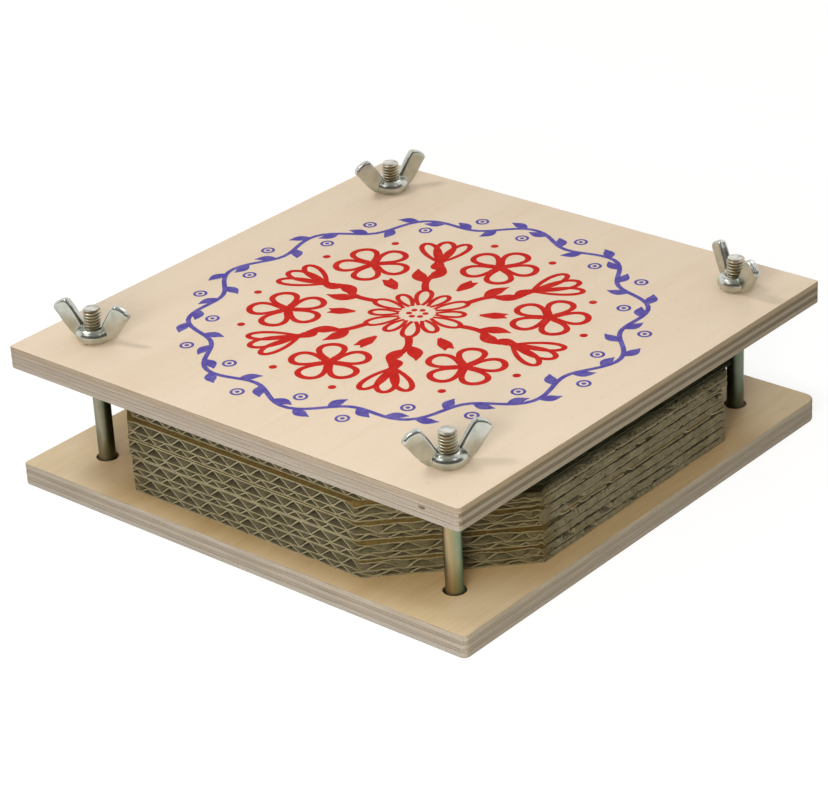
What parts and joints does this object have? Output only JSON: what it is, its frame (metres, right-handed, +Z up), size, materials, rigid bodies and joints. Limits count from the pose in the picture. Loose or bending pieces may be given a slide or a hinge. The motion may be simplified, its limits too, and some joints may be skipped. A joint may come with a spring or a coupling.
{
  "type": "flower press",
  "caption": "Square flower press: plywood boards clamped by corner bolts and wing nuts over a stack of corrugated cards and blotting papers.",
  "frame": {"origin": "centre of the base board's underside", "axes": "+Z up through the boards; -Y is the front edge, where the open ends of the cards' flutes show, so the flutes run along Y; +X is the right edge seen from the front"},
  "size_m": [0.18, 0.18, 0.0611],
  "materials": {
    "plywood": "satin",
    "zinc_plated_bolt": "satin",
    "zinc_wing_nut": "satin",
    "corrugated_card": "matte",
    "blotting_paper": "matte"
  },
  "bodies": {
    "base": {"base_board": "plywood", "carriage_bolt_front_left": "zinc_plated_bolt", "carriage_bolt_front_right": "zinc_plated_bolt", "carriage_bolt_back_right": "zinc_plated_bolt", "carriage_bolt_back_left": "zinc_plated_bolt"},
    "top_board": {"top_board": "plywood"},
    "wing_nut_front_left": {"wing_nut_front_left": "zinc_wing_nut"},
    "wing_nut_front_right": {"wing_nut_front_right": "zinc_wing_nut"},
    "wing_nut_back_right": {"wing_nut_back_right": "zinc_wing_nut"},
    "wing_nut_back_left": {"wing_nut_back_left": "zinc_wing_nut"},
    "corrugated_card_1": {"corrugated_card_1": "corrugated_card"},
    "corrugated_card_2": {"corrugated_card_2": "corrugated_card"},
    "corrugated_card_3": {"corrugated_card_3": "corrugated_card"},
    "corrugated_card_4": {"corrugated_card_4": "corrugated_card"},
    "corrugated_card_5": {"corrugated_card_5": "corrugated_card"},
    "blotting_paper_1": {"blotting_paper_1": "blotting_paper"},
    "blotting_paper_2": {"blotting_paper_2": "blotting_paper"},
    "blotting_paper_3": {"blotting_paper_3": "blotting_paper"},
    "blotting_paper_4": {"blotting_paper_4": "blotting_paper"},
    "blotting_paper_5": {"blotting_paper_5": "blotting_paper"},
    "blotting_paper_6": {"blotting_paper_6": "blotting_paper"}
  },
  "joints": [
    {"name": "top_board_lift", "type": "slide", "parent": "base", "child": "top_board", "axis": [0, 0, 1], "range_m": [0, 0.009]},
    {"name": "wing_nut_front_left_turn", "type": "hinge", "parent": "top_board", "child": "wing_nut_front_left", "pos_m": [-0.071, -0.071, 0.04815], "axis": [0, 0, 1], "range_deg": [0, 3241]},
    {"name": "wing_nut_front_right_turn", "type": "hinge", "parent": "top_board", "child": "wing_nut_front_right", "pos_m": [0.071, -0.071, 0.04815], "axis": [0, 0, 1], "range_deg": [0, 3241]},
    {"name": "wing_nut_back_right_turn", "type": "hinge", "parent": "top_board", "child": "wing_nut_back_right", "pos_m": [0.071, 0.071, 0.04815], "axis": [0, 0, 1], "range_deg": [0, 3241]},
    {"name": "wing_nut_back_left_turn", "type": "hinge", "parent": "top_board", "child": "wing_nut_back_left", "pos_m": [-0.071, 0.071, 0.04815], "axis": [0, 0, 1], "range_deg": [0, 3241]},
    {"name": "corrugated_card_1_lift", "type": "slide", "parent": "base", "child": "corrugated_card_1", "axis": [0, 0, 1], "range_m": [0, 0.00076]},
    {"name": "corrugated_card_2_lift", "type": "slide", "parent": "base", "child": "corrugated_card_2", "axis": [0, 0, 1], "range_m": [0, 0.00151]},
    {"name": "corrugated_card_3_lift", "type": "slide", "parent": "base", "child": "corrugated_card_3", "axis": [0, 0, 1], "range_m": [0, 0.00226]},
    {"name": "corrugated_card_4_lift", "type": "slide", "parent": "base", "child": "corrugated_card_4", "axis": [0, 0, 1], "range_m": [0, 0.00301]},
    {"name": "corrugated_card_5_lift", "type": "slide", "parent": "base", "child": "corrugated_card_5", "axis": [0, 0, 1], "range_m": [0, 0.00376]},
    {"name": "blotting_paper_1_lift", "type": "slide", "parent": "base", "child": "blotting_paper_1", "axis": [0, 0, 1], "range_m": [0, 0.00451]},
    {"name": "blotting_paper_2_lift", "type": "slide", "parent": "base", "child": "blotting_paper_2", "axis": [0, 0, 1], "range_m": [0, 0.00526]},
    {"name": "blotting_paper_3_lift", "type": "slide", "parent": "base", "child": "blotting_paper_3", "axis": [0, 0, 1], "range_m": [0, 0.00601]},
    {"name": "blotting_paper_4_lift", "type": "slide", "parent": "base", "child": "blotting_paper_4", "axis": [0, 0, 1], "range_m": [0, 0.00676]},
    {"name": "blotting_paper_5_lift", "type": "slide", "parent": "base", "child": "blotting_paper_5", "axis": [0, 0, 1], "range_m": [0, 0.00751]},
    {"name": "blotting_paper_6_lift", "type": "slide", "parent": "base", "child": "blotting_paper_6", "axis": [0, 0, 1], "range_m": [0, 0.00826]}
  ],
  "couplings": [
    {"joint": "wing_nut_front_left_turn", "follows": "top_board_lift", "rad_per_m": 6283.2},
    {"joint": "wing_nut_front_right_turn", "follows": "top_board_lift", "rad_per_m": 6283.2},
    {"joint": "wing_nut_back_right_turn", "follows": "top_board_lift", "rad_per_m": 6283.2},
    {"joint": "wing_nut_back_left_turn", "follows": "top_board_lift", "rad_per_m": 6283.2},
    {"joint": "corrugated_card_1_lift", "follows": "top_board_lift", "ratio": 0.083333},
    {"joint": "corrugated_card_2_lift", "follows": "top_board_lift", "ratio": 0.16667},
    {"joint": "corrugated_card_3_lift", "follows": "top_board_lift", "ratio": 0.25},
    {"joint": "corrugated_card_4_lift", "follows": "top_board_lift", "ratio": 0.33333},
    {"joint": "corrugated_card_5_lift", "follows": "top_board_lift", "ratio": 0.41667},
    {"joint": "blotting_paper_1_lift", "follows": "top_board_lift", "ratio": 0.5},
    {"joint": "blotting_paper_2_lift", "follows": "top_board_lift", "ratio": 0.58333},
    {"joint": "blotting_paper_3_lift", "follows": "top_board_lift", "ratio": 0.66667},
    {"joint": "blotting_paper_4_lift", "follows": "top_board_lift", "ratio": 0.75},
    {"joint": "blotting_paper_5_lift", "follows": "top_board_lift", "ratio": 0.83333},
    {"joint": "blotting_paper_6_lift", "follows": "top_board_lift", "ratio": 0.91667}
  ]
}
